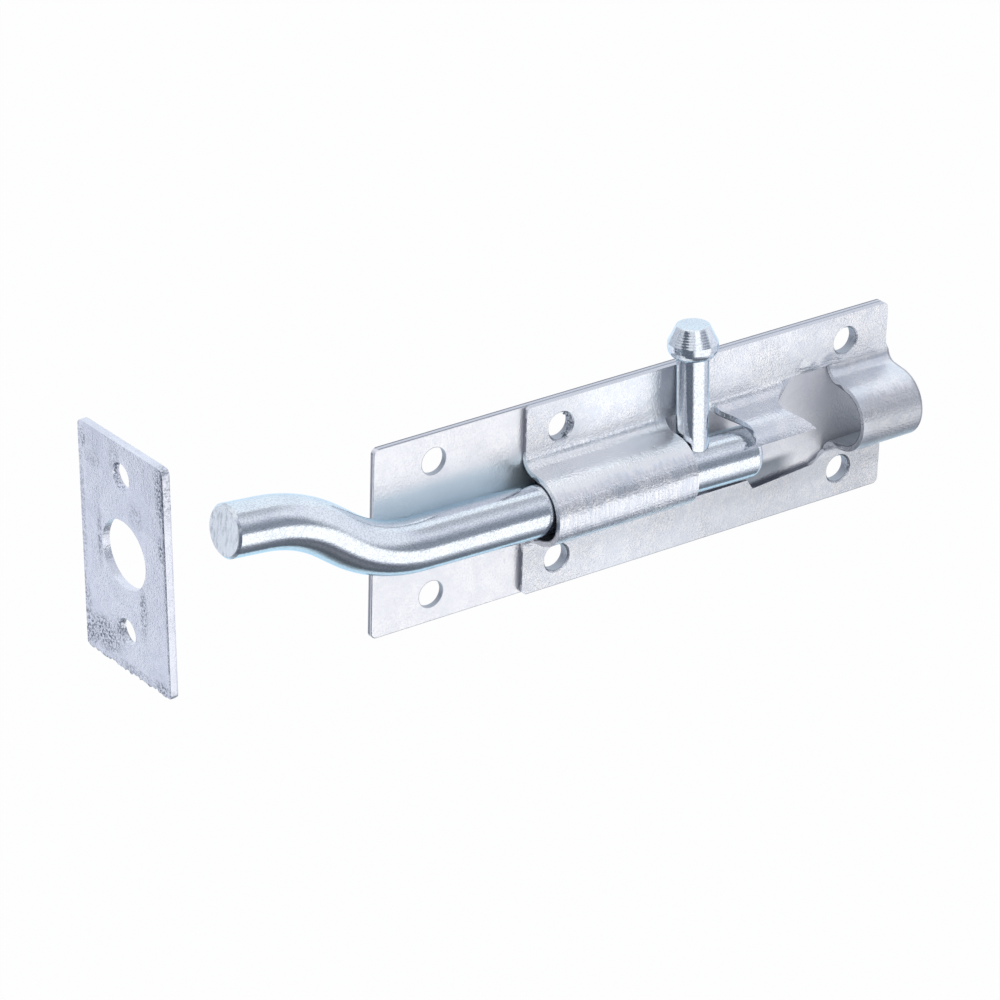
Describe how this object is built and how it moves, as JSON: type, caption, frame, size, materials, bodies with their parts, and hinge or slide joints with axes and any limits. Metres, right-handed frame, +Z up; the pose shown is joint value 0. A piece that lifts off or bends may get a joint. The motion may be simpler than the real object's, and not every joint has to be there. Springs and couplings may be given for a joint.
{
  "type": "cranked barrel bolt",
  "caption": "Cranked barrel bolt for a gate or shed door: a round bar in a pressed sheet barrel on a long backing plate, with a turned knob and a loose keeper plate.",
  "frame": {"origin": "on the mounting face, at the front end of the pressed barrel plate and half way up it", "axes": "+X along the bar away from its shoot, +Y into the door, square to the mounting face, +Z up, the way the knob points at rest"},
  "size_m": [0.1759, 0.0255, 0.0567],
  "materials": {
    "backing_sheet": "hot-dip galvanised sheet, pale and mottled",
    "barrel_sheet": "hot-dip galvanised pressed sheet, mottled grey and lavender with run marks",
    "plated_bar": "bright zinc plate with a faint blue cast",
    "plated_knob": "bright zinc plate over a turned surface",
    "keeper_sheet": "hot-dip galvanised sheet, rough and speckled"
  },
  "bodies": {
    "barrel": {"backing_plate": "backing_sheet", "barrel_plate": "barrel_sheet", "keeper_plate": "keeper_sheet"},
    "bolt": {"bolt_rod": "plated_bar", "knob": "plated_knob"}
  },
  "joints": [
    {"name": "bolt_turn", "type": "hinge", "parent": "barrel", "child": "bolt", "pos_m": [0.016, -0.00635, 0], "axis": [0.9997, 0, -0.0244], "range_deg": [0, 186]}
  ]
}
